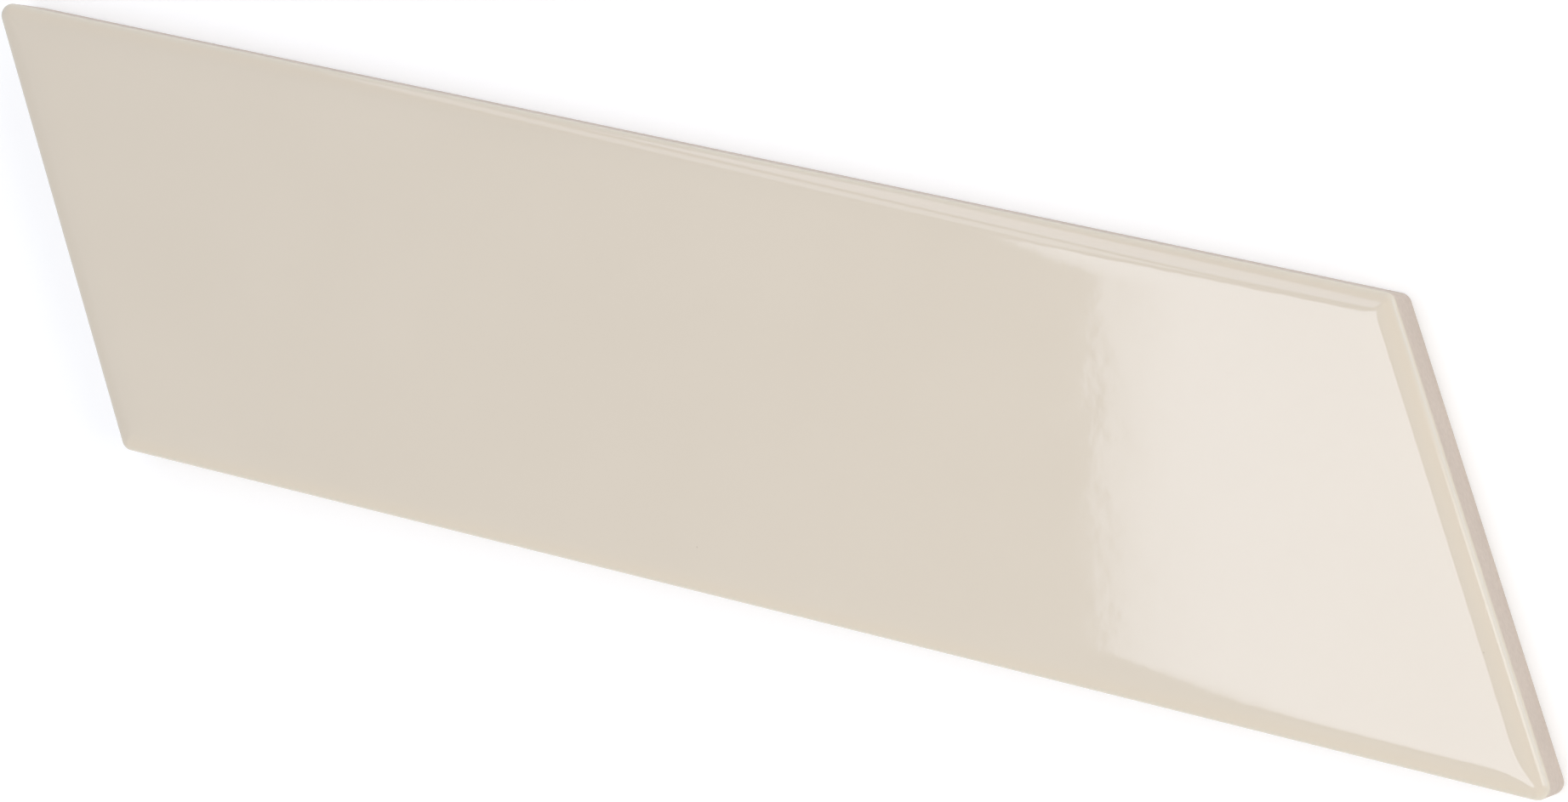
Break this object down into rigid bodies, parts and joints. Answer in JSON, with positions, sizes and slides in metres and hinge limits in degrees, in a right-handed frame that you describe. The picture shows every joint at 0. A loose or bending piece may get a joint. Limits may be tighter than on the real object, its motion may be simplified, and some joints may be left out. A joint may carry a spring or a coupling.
{
  "type": "chevron wall tile",
  "caption": "Glossy glazed ceramic wall tile with a parallelogram outline, cushioned rim and grooved back, laid with its mirror image in a chevron pattern.",
  "frame": {"origin": "centre of the back, on the plane that is bonded to the wall", "axes": "+X along the long sides, +Y across the tile, +Z out of the glazed face"},
  "size_m": [0.2138, 0.052, 0.009],
  "materials": {
    "glaze": "glossy warm cream glaze over a bare pink-beige body"
  },
  "bodies": {
    "root": {"tile": "glaze"}
  },
  "joints": []
}
